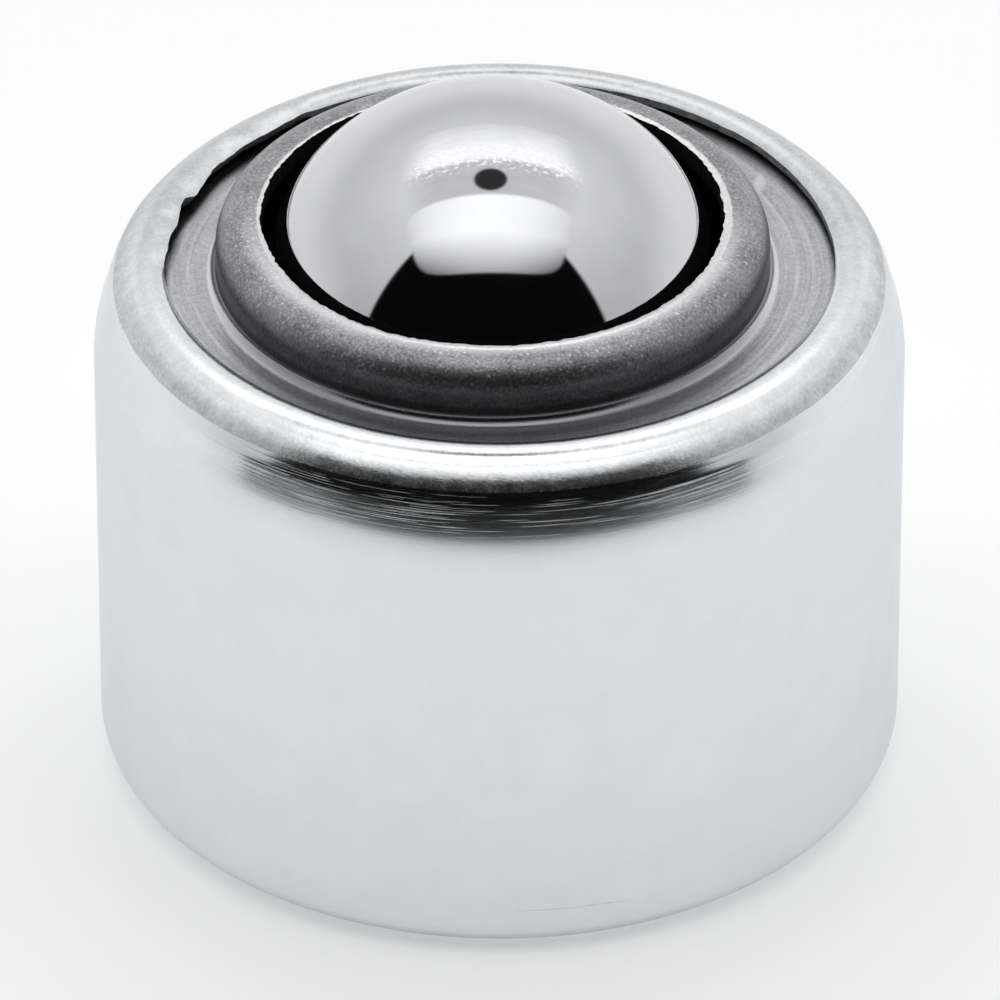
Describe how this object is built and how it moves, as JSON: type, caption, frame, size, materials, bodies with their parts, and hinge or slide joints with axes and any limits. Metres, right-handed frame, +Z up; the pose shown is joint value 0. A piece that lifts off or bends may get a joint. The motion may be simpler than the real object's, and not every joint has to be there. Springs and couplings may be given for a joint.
{
  "type": "ball transfer unit",
  "caption": "Drawn steel can with a rolled-in lip over a pressed cover ring, holding one large ball that rolls in every direction on a bed of small balls.",
  "frame": {"origin": "centre of the can's flat base", "axes": "+Z up through the main ball; the insert has settled towards -X, and the untrimmed stretch of lip is at the -X +Y side"},
  "size_m": [0.0424, 0.0422, 0.0383],
  "materials": {
    "plated_can": "bright zinc plate on drawn sheet, faint drawing marks, smoother on the rolled lip",
    "pressed_cover": "dull grainy pressed steel with a burnished sheared rim",
    "hardened_seat": "turned and hardened, dark, ground race",
    "polished_ball": "mirror-polished bearing steel",
    "small_balls": "mirror-polished bearing steel"
  },
  "bodies": {
    "unit_body": {"housing": "plated_can", "race_seat": "hardened_seat", "cover_ring": "pressed_cover"},
    "main_ball": {"main_ball": "polished_ball"},
    "support_ball_r0_1": {"support_ball_r0_1": "small_balls"},
    "support_ball_r1_1": {"support_ball_r1_1": "small_balls"},
    "support_ball_r1_2": {"support_ball_r1_2": "small_balls"},
    "support_ball_r1_3": {"support_ball_r1_3": "small_balls"},
    "support_ball_r1_4": {"support_ball_r1_4": "small_balls"},
    "support_ball_r1_5": {"support_ball_r1_5": "small_balls"},
    "support_ball_r1_6": {"support_ball_r1_6": "small_balls"},
    "support_ball_r2_1": {"support_ball_r2_1": "small_balls"},
    "support_ball_r2_2": {"support_ball_r2_2": "small_balls"},
    "support_ball_r2_3": {"support_ball_r2_3": "small_balls"},
    "support_ball_r2_4": {"support_ball_r2_4": "small_balls"},
    "support_ball_r2_5": {"support_ball_r2_5": "small_balls"},
    "support_ball_r2_6": {"support_ball_r2_6": "small_balls"},
    "support_ball_r2_7": {"support_ball_r2_7": "small_balls"},
    "support_ball_r2_8": {"support_ball_r2_8": "small_balls"},
    "support_ball_r2_9": {"support_ball_r2_9": "small_balls"},
    "support_ball_r2_10": {"support_ball_r2_10": "small_balls"},
    "support_ball_r2_11": {"support_ball_r2_11": "small_balls"},
    "support_ball_r3_1": {"support_ball_r3_1": "small_balls"},
    "support_ball_r3_2": {"support_ball_r3_2": "small_balls"},
    "support_ball_r3_3": {"support_ball_r3_3": "small_balls"},
    "support_ball_r3_4": {"support_ball_r3_4": "small_balls"},
    "support_ball_r3_5": {"support_ball_r3_5": "small_balls"},
    "support_ball_r3_6": {"support_ball_r3_6": "small_balls"},
    "support_ball_r3_7": {"support_ball_r3_7": "small_balls"},
    "support_ball_r3_8": {"support_ball_r3_8": "small_balls"},
    "support_ball_r3_9": {"support_ball_r3_9": "small_balls"},
    "support_ball_r3_10": {"support_ball_r3_10": "small_balls"},
    "support_ball_r3_11": {"support_ball_r3_11": "small_balls"},
    "support_ball_r3_12": {"support_ball_r3_12": "small_balls"},
    "support_ball_r3_13": {"support_ball_r3_13": "small_balls"},
    "support_ball_r3_14": {"support_ball_r3_14": "small_balls"},
    "support_ball_r3_15": {"support_ball_r3_15": "small_balls"},
    "support_ball_r3_16": {"support_ball_r3_16": "small_balls"},
    "support_ball_r4_1": {"support_ball_r4_1": "small_balls"},
    "support_ball_r4_2": {"support_ball_r4_2": "small_balls"},
    "support_ball_r4_3": {"support_ball_r4_3": "small_balls"},
    "support_ball_r4_4": {"support_ball_r4_4": "small_balls"},
    "support_ball_r4_5": {"support_ball_r4_5": "small_balls"},
    "support_ball_r4_6": {"support_ball_r4_6": "small_balls"},
    "support_ball_r4_7": {"support_ball_r4_7": "small_balls"},
    "support_ball_r4_8": {"support_ball_r4_8": "small_balls"},
    "support_ball_r4_9": {"support_ball_r4_9": "small_balls"},
    "support_ball_r4_10": {"support_ball_r4_10": "small_balls"},
    "support_ball_r4_11": {"support_ball_r4_11": "small_balls"},
    "support_ball_r4_12": {"support_ball_r4_12": "small_balls"},
    "support_ball_r4_13": {"support_ball_r4_13": "small_balls"},
    "support_ball_r4_14": {"support_ball_r4_14": "small_balls"},
    "support_ball_r4_15": {"support_ball_r4_15": "small_balls"},
    "support_ball_r4_16": {"support_ball_r4_16": "small_balls"},
    "support_ball_r4_17": {"support_ball_r4_17": "small_balls"},
    "support_ball_r4_18": {"support_ball_r4_18": "small_balls"}
  },
  "joints": [
    {"name": "main_ball_roll", "type": "hinge", "parent": "unit_body", "child": "main_ball", "pos_m": [-0.00035, 0, 0.02558], "axis": [1, 0, 0], "continuous": true},
    {"name": "support_ball_r0_1_spin", "type": "hinge", "parent": "unit_body", "child": "support_ball_r0_1", "pos_m": [-0.00035, 0, 0.01044], "axis": [1, 0, 0], "continuous": true},
    {"name": "support_ball_r1_1_spin", "type": "hinge", "parent": "unit_body", "child": "support_ball_r1_1", "pos_m": [0.00447, 0, 0.01123], "axis": [0.948, 0, 0.3184], "continuous": true},
    {"name": "support_ball_r1_2_spin", "type": "hinge", "parent": "unit_body", "child": "support_ball_r1_2", "pos_m": [0.00206, 0.00417, 0.01123], "axis": [0.9872, -0.0445, 0.1528], "continuous": true},
    {"name": "support_ball_r1_3_spin", "type": "hinge", "parent": "unit_body", "child": "support_ball_r1_3", "pos_m": [-0.00276, 0.00417, 0.01123], "axis": [0.9872, 0.0445, -0.1528], "continuous": true},
    {"name": "support_ball_r1_4_spin", "type": "hinge", "parent": "unit_body", "child": "support_ball_r1_4", "pos_m": [-0.00517, 0, 0.01123], "axis": [0.948, 0, -0.3184], "continuous": true},
    {"name": "support_ball_r1_5_spin", "type": "hinge", "parent": "unit_body", "child": "support_ball_r1_5", "pos_m": [-0.00276, -0.00417, 0.01123], "axis": [0.9872, -0.0445, -0.1528], "continuous": true},
    {"name": "support_ball_r1_6_spin", "type": "hinge", "parent": "unit_body", "child": "support_ball_r1_6", "pos_m": [0.00206, -0.00417, 0.01123], "axis": [0.9872, 0.0445, 0.1528], "continuous": true},
    {"name": "support_ball_r2_1_spin", "type": "hinge", "parent": "unit_body", "child": "support_ball_r2_1", "pos_m": [0.00874, 0, 0.01347], "axis": [0.7999, 0, 0.6002], "continuous": true},
    {"name": "support_ball_r2_2_spin", "type": "hinge", "parent": "unit_body", "child": "support_ball_r2_2", "pos_m": [0.00729, 0.00491, 0.01347], "axis": [0.8632, -0.1898, 0.4679], "continuous": true},
    {"name": "support_ball_r2_3_spin", "type": "hinge", "parent": "unit_body", "child": "support_ball_r2_3", "pos_m": [0.00342, 0.00827, 0.01347], "axis": [0.9684, -0.1406, 0.2059], "continuous": true},
    {"name": "support_ball_r2_4_spin", "type": "hinge", "parent": "unit_body", "child": "support_ball_r2_4", "pos_m": [-0.00164, 0.00899, 0.01347], "axis": [0.9963, 0.0509, -0.0686], "continuous": true},
    {"name": "support_ball_r2_5_spin", "type": "hinge", "parent": "unit_body", "child": "support_ball_r2_5", "pos_m": [-0.0063, 0.00687, 0.01347], "axis": [0.9195, 0.1939, -0.3419], "continuous": true},
    {"name": "support_ball_r2_6_spin", "type": "hinge", "parent": "unit_body", "child": "support_ball_r2_6", "pos_m": [-0.00907, 0.00256, 0.01347], "axis": [0.8175, 0.1191, -0.5634], "continuous": true},
    {"name": "support_ball_r2_7_spin", "type": "hinge", "parent": "unit_body", "child": "support_ball_r2_7", "pos_m": [-0.00907, -0.00256, 0.01347], "axis": [0.8175, -0.1191, -0.5634], "continuous": true},
    {"name": "support_ball_r2_8_spin", "type": "hinge", "parent": "unit_body", "child": "support_ball_r2_8", "pos_m": [-0.0063, -0.00687, 0.01347], "axis": [0.9195, -0.1939, -0.3419], "continuous": true},
    {"name": "support_ball_r2_9_spin", "type": "hinge", "parent": "unit_body", "child": "support_ball_r2_9", "pos_m": [-0.00164, -0.00899, 0.01347], "axis": [0.9963, -0.0509, -0.0686], "continuous": true},
    {"name": "support_ball_r2_10_spin", "type": "hinge", "parent": "unit_body", "child": "support_ball_r2_10", "pos_m": [0.00342, -0.00827, 0.01347], "axis": [0.9684, 0.1406, 0.2059], "continuous": true},
    {"name": "support_ball_r2_11_spin", "type": "hinge", "parent": "unit_body", "child": "support_ball_r2_11", "pos_m": [0.00729, -0.00491, 0.01347], "axis": [0.8632, 0.1898, 0.4679], "continuous": true},
    {"name": "support_ball_r3_1_spin", "type": "hinge", "parent": "unit_body", "child": "support_ball_r3_1", "pos_m": [0.01208, 0, 0.01694], "axis": [0.5707, 0, 0.8212], "continuous": true},
    {"name": "support_ball_r3_2_spin", "type": "hinge", "parent": "unit_body", "child": "support_ball_r3_2", "pos_m": [0.01114, 0.00476, 0.01694], "axis": [0.6515, -0.3659, 0.6646], "continuous": true},
    {"name": "support_ball_r3_3_spin", "type": "hinge", "parent": "unit_body", "child": "support_ball_r3_3", "pos_m": [0.00844, 0.00879, 0.01694], "axis": [0.8142, -0.4141, 0.407], "continuous": true},
    {"name": "support_ball_r3_4_spin", "type": "hinge", "parent": "unit_body", "child": "support_ball_r3_4", "pos_m": [0.00441, 0.01149, 0.01694], "axis": [0.9493, -0.2511, 0.1889], "continuous": true},
    {"name": "support_ball_r3_5_spin", "type": "hinge", "parent": "unit_body", "child": "support_ball_r3_5", "pos_m": [-0.00035, 0.01243, 0.01694], "axis": [1, 0, 0], "continuous": true},
    {"name": "support_ball_r3_6_spin", "type": "hinge", "parent": "unit_body", "child": "support_ball_r3_6", "pos_m": [-0.00511, 0.01149, 0.01694], "axis": [0.9493, 0.2511, -0.1889], "continuous": true},
    {"name": "support_ball_r3_7_spin", "type": "hinge", "parent": "unit_body", "child": "support_ball_r3_7", "pos_m": [-0.00914, 0.00879, 0.01694], "axis": [0.8142, 0.4141, -0.407], "continuous": true},
    {"name": "support_ball_r3_8_spin", "type": "hinge", "parent": "unit_body", "child": "support_ball_r3_8", "pos_m": [-0.01184, 0.00476, 0.01694], "axis": [0.6515, 0.3659, -0.6646], "continuous": true},
    {"name": "support_ball_r3_9_spin", "type": "hinge", "parent": "unit_body", "child": "support_ball_r3_9", "pos_m": [-0.01278, 0, 0.01694], "axis": [0.5707, 0, -0.8212], "continuous": true},
    {"name": "support_ball_r3_10_spin", "type": "hinge", "parent": "unit_body", "child": "support_ball_r3_10", "pos_m": [-0.01184, -0.00476, 0.01694], "axis": [0.6515, -0.3659, -0.6646], "continuous": true},
    {"name": "support_ball_r3_11_spin", "type": "hinge", "parent": "unit_body", "child": "support_ball_r3_11", "pos_m": [-0.00914, -0.00879, 0.01694], "axis": [0.8142, -0.4141, -0.407], "continuous": true},
    {"name": "support_ball_r3_12_spin", "type": "hinge", "parent": "unit_body", "child": "support_ball_r3_12", "pos_m": [-0.00511, -0.01149, 0.01694], "axis": [0.9493, -0.2511, -0.1889], "continuous": true},
    {"name": "support_ball_r3_13_spin", "type": "hinge", "parent": "unit_body", "child": "support_ball_r3_13", "pos_m": [-0.00035, -0.01243, 0.01694], "axis": [1, 0, 0], "continuous": true},
    {"name": "support_ball_r3_14_spin", "type": "hinge", "parent": "unit_body", "child": "support_ball_r3_14", "pos_m": [0.00441, -0.01149, 0.01694], "axis": [0.9493, 0.2511, 0.1889], "continuous": true},
    {"name": "support_ball_r3_15_spin", "type": "hinge", "parent": "unit_body", "child": "support_ball_r3_15", "pos_m": [0.00844, -0.00879, 0.01694], "axis": [0.8142, 0.4141, 0.407], "continuous": true},
    {"name": "support_ball_r3_16_spin", "type": "hinge", "parent": "unit_body", "child": "support_ball_r3_16", "pos_m": [0.01114, -0.00476, 0.01694], "axis": [0.6515, 0.3659, 0.6646], "continuous": true},
    {"name": "support_ball_r4_1_spin", "type": "hinge", "parent": "unit_body", "child": "support_ball_r4_1", "pos_m": [0.01417, 0, 0.02129], "axis": [0.2837, 0, 0.9589], "continuous": true},
    {"name": "support_ball_r4_2_spin", "type": "hinge", "parent": "unit_body", "child": "support_ball_r4_2", "pos_m": [0.01329, 0.00497, 0.02129], "axis": [0.4336, -0.6815, 0.5895], "continuous": true},
    {"name": "support_ball_r4_3_spin", "type": "hinge", "parent": "unit_body", "child": "support_ball_r4_3", "pos_m": [0.01077, 0.00933, 0.02129], "axis": [0.6785, -0.6673, 0.3071], "continuous": true},
    {"name": "support_ball_r4_4_spin", "type": "hinge", "parent": "unit_body", "child": "support_ball_r4_4", "pos_m": [0.00691, 0.01257, 0.02129], "axis": [0.8776, -0.4537, 0.155], "continuous": true},
    {"name": "support_ball_r4_5_spin", "type": "hinge", "parent": "unit_body", "child": "support_ball_r4_5", "pos_m": [0.00217, 0.0143, 0.02129], "axis": [0.986, -0.1595, 0.0479], "continuous": true},
    {"name": "support_ball_r4_6_spin", "type": "hinge", "parent": "unit_body", "child": "support_ball_r4_6", "pos_m": [-0.00287, 0.0143, 0.02129], "axis": [0.986, 0.1595, -0.0479], "continuous": true},
    {"name": "support_ball_r4_7_spin", "type": "hinge", "parent": "unit_body", "child": "support_ball_r4_7", "pos_m": [-0.00761, 0.01257, 0.02129], "axis": [0.8776, 0.4537, -0.155], "continuous": true},
    {"name": "support_ball_r4_8_spin", "type": "hinge", "parent": "unit_body", "child": "support_ball_r4_8", "pos_m": [-0.01147, 0.00933, 0.02129], "axis": [0.6785, 0.6673, -0.3071], "continuous": true},
    {"name": "support_ball_r4_9_spin", "type": "hinge", "parent": "unit_body", "child": "support_ball_r4_9", "pos_m": [-0.01399, 0.00497, 0.02129], "axis": [0.4336, 0.6815, -0.5895], "continuous": true},
    {"name": "support_ball_r4_10_spin", "type": "hinge", "parent": "unit_body", "child": "support_ball_r4_10", "pos_m": [-0.01487, 0, 0.02129], "axis": [0.2837, 0, -0.9589], "continuous": true},
    {"name": "support_ball_r4_11_spin", "type": "hinge", "parent": "unit_body", "child": "support_ball_r4_11", "pos_m": [-0.01399, -0.00497, 0.02129], "axis": [0.4336, -0.6815, -0.5895], "continuous": true},
    {"name": "support_ball_r4_12_spin", "type": "hinge", "parent": "unit_body", "child": "support_ball_r4_12", "pos_m": [-0.01147, -0.00933, 0.02129], "axis": [0.6785, -0.6673, -0.3071], "continuous": true},
    {"name": "support_ball_r4_13_spin", "type": "hinge", "parent": "unit_body", "child": "support_ball_r4_13", "pos_m": [-0.00761, -0.01257, 0.02129], "axis": [0.8776, -0.4537, -0.155], "continuous": true},
    {"name": "support_ball_r4_14_spin", "type": "hinge", "parent": "unit_body", "child": "support_ball_r4_14", "pos_m": [-0.00287, -0.0143, 0.02129], "axis": [0.986, -0.1595, -0.0479], "continuous": true},
    {"name": "support_ball_r4_15_spin", "type": "hinge", "parent": "unit_body", "child": "support_ball_r4_15", "pos_m": [0.00217, -0.0143, 0.02129], "axis": [0.986, 0.1595, 0.0479], "continuous": true},
    {"name": "support_ball_r4_16_spin", "type": "hinge", "parent": "unit_body", "child": "support_ball_r4_16", "pos_m": [0.00691, -0.01257, 0.02129], "axis": [0.8776, 0.4537, 0.155], "continuous": true},
    {"name": "support_ball_r4_17_spin", "type": "hinge", "parent": "unit_body", "child": "support_ball_r4_17", "pos_m": [0.01077, -0.00933, 0.02129], "axis": [0.6785, 0.6673, 0.3071], "continuous": true},
    {"name": "support_ball_r4_18_spin", "type": "hinge", "parent": "unit_body", "child": "support_ball_r4_18", "pos_m": [0.01329, -0.00497, 0.02129], "axis": [0.4336, 0.6815, 0.5895], "continuous": true}
  ],
  "couplings": [
    {"joint": "support_ball_r0_1_spin", "follows": "main_ball_roll", "ratio": -5.3361},
    {"joint": "support_ball_r1_1_spin", "follows": "main_ball_roll", "ratio": -5.0585},
    {"joint": "support_ball_r1_2_spin", "follows": "main_ball_roll", "ratio": -5.2681},
    {"joint": "support_ball_r1_3_spin", "follows": "main_ball_roll", "ratio": -5.2681},
    {"joint": "support_ball_r1_4_spin", "follows": "main_ball_roll", "ratio": -5.0585},
    {"joint": "support_ball_r1_5_spin", "follows": "main_ball_roll", "ratio": -5.2681},
    {"joint": "support_ball_r1_6_spin", "follows": "main_ball_roll", "ratio": -5.2681},
    {"joint": "support_ball_r2_1_spin", "follows": "main_ball_roll", "ratio": -4.2682},
    {"joint": "support_ball_r2_2_spin", "follows": "main_ball_roll", "ratio": -4.606},
    {"joint": "support_ball_r2_3_spin", "follows": "main_ball_roll", "ratio": -5.1676},
    {"joint": "support_ball_r2_4_spin", "follows": "main_ball_roll", "ratio": -5.3166},
    {"joint": "support_ball_r2_5_spin", "follows": "main_ball_roll", "ratio": -4.9067},
    {"joint": "support_ball_r2_6_spin", "follows": "main_ball_roll", "ratio": -4.3625},
    {"joint": "support_ball_r2_7_spin", "follows": "main_ball_roll", "ratio": -4.3625},
    {"joint": "support_ball_r2_8_spin", "follows": "main_ball_roll", "ratio": -4.9067},
    {"joint": "support_ball_r2_9_spin", "follows": "main_ball_roll", "ratio": -5.3166},
    {"joint": "support_ball_r2_10_spin", "follows": "main_ball_roll", "ratio": -5.1676},
    {"joint": "support_ball_r2_11_spin", "follows": "main_ball_roll", "ratio": -4.606},
    {"joint": "support_ball_r3_1_spin", "follows": "main_ball_roll", "ratio": -3.0453},
    {"joint": "support_ball_r3_2_spin", "follows": "main_ball_roll", "ratio": -3.4765},
    {"joint": "support_ball_r3_3_spin", "follows": "main_ball_roll", "ratio": -4.3444},
    {"joint": "support_ball_r3_4_spin", "follows": "main_ball_roll", "ratio": -5.0658},
    {"joint": "support_ball_r3_5_spin", "follows": "main_ball_roll", "ratio": -5.3361},
    {"joint": "support_ball_r3_6_spin", "follows": "main_ball_roll", "ratio": -5.0658},
    {"joint": "support_ball_r3_7_spin", "follows": "main_ball_roll", "ratio": -4.3444},
    {"joint": "support_ball_r3_8_spin", "follows": "main_ball_roll", "ratio": -3.4765},
    {"joint": "support_ball_r3_9_spin", "follows": "main_ball_roll", "ratio": -3.0453},
    {"joint": "support_ball_r3_10_spin", "follows": "main_ball_roll", "ratio": -3.4765},
    {"joint": "support_ball_r3_11_spin", "follows": "main_ball_roll", "ratio": -4.3444},
    {"joint": "support_ball_r3_12_spin", "follows": "main_ball_roll", "ratio": -5.0658},
    {"joint": "support_ball_r3_13_spin", "follows": "main_ball_roll", "ratio": -5.3361},
    {"joint": "support_ball_r3_14_spin", "follows": "main_ball_roll", "ratio": -5.0658},
    {"joint": "support_ball_r3_15_spin", "follows": "main_ball_roll", "ratio": -4.3444},
    {"joint": "support_ball_r3_16_spin", "follows": "main_ball_roll", "ratio": -3.4765},
    {"joint": "support_ball_r4_1_spin", "follows": "main_ball_roll", "ratio": -1.5138},
    {"joint": "support_ball_r4_2_spin", "follows": "main_ball_roll", "ratio": -2.3139},
    {"joint": "support_ball_r4_3_spin", "follows": "main_ball_roll", "ratio": -3.6207},
    {"joint": "support_ball_r4_4_spin", "follows": "main_ball_roll", "ratio": -4.6828},
    {"joint": "support_ball_r4_5_spin", "follows": "main_ball_roll", "ratio": -5.2616},
    {"joint": "support_ball_r4_6_spin", "follows": "main_ball_roll", "ratio": -5.2616},
    {"joint": "support_ball_r4_7_spin", "follows": "main_ball_roll", "ratio": -4.6828},
    {"joint": "support_ball_r4_8_spin", "follows": "main_ball_roll", "ratio": -3.6207},
    {"joint": "support_ball_r4_9_spin", "follows": "main_ball_roll", "ratio": -2.3139},
    {"joint": "support_ball_r4_10_spin", "follows": "main_ball_roll", "ratio": -1.5138},
    {"joint": "support_ball_r4_11_spin", "follows": "main_ball_roll", "ratio": -2.3139},
    {"joint": "support_ball_r4_12_spin", "follows": "main_ball_roll", "ratio": -3.6207},
    {"joint": "support_ball_r4_13_spin", "follows": "main_ball_roll", "ratio": -4.6828},
    {"joint": "support_ball_r4_14_spin", "follows": "main_ball_roll", "ratio": -5.2616},
    {"joint": "support_ball_r4_15_spin", "follows": "main_ball_roll", "ratio": -5.2616},
    {"joint": "support_ball_r4_16_spin", "follows": "main_ball_roll", "ratio": -4.6828},
    {"joint": "support_ball_r4_17_spin", "follows": "main_ball_roll", "ratio": -3.6207},
    {"joint": "support_ball_r4_18_spin", "follows": "main_ball_roll", "ratio": -2.3139}
  ]
}
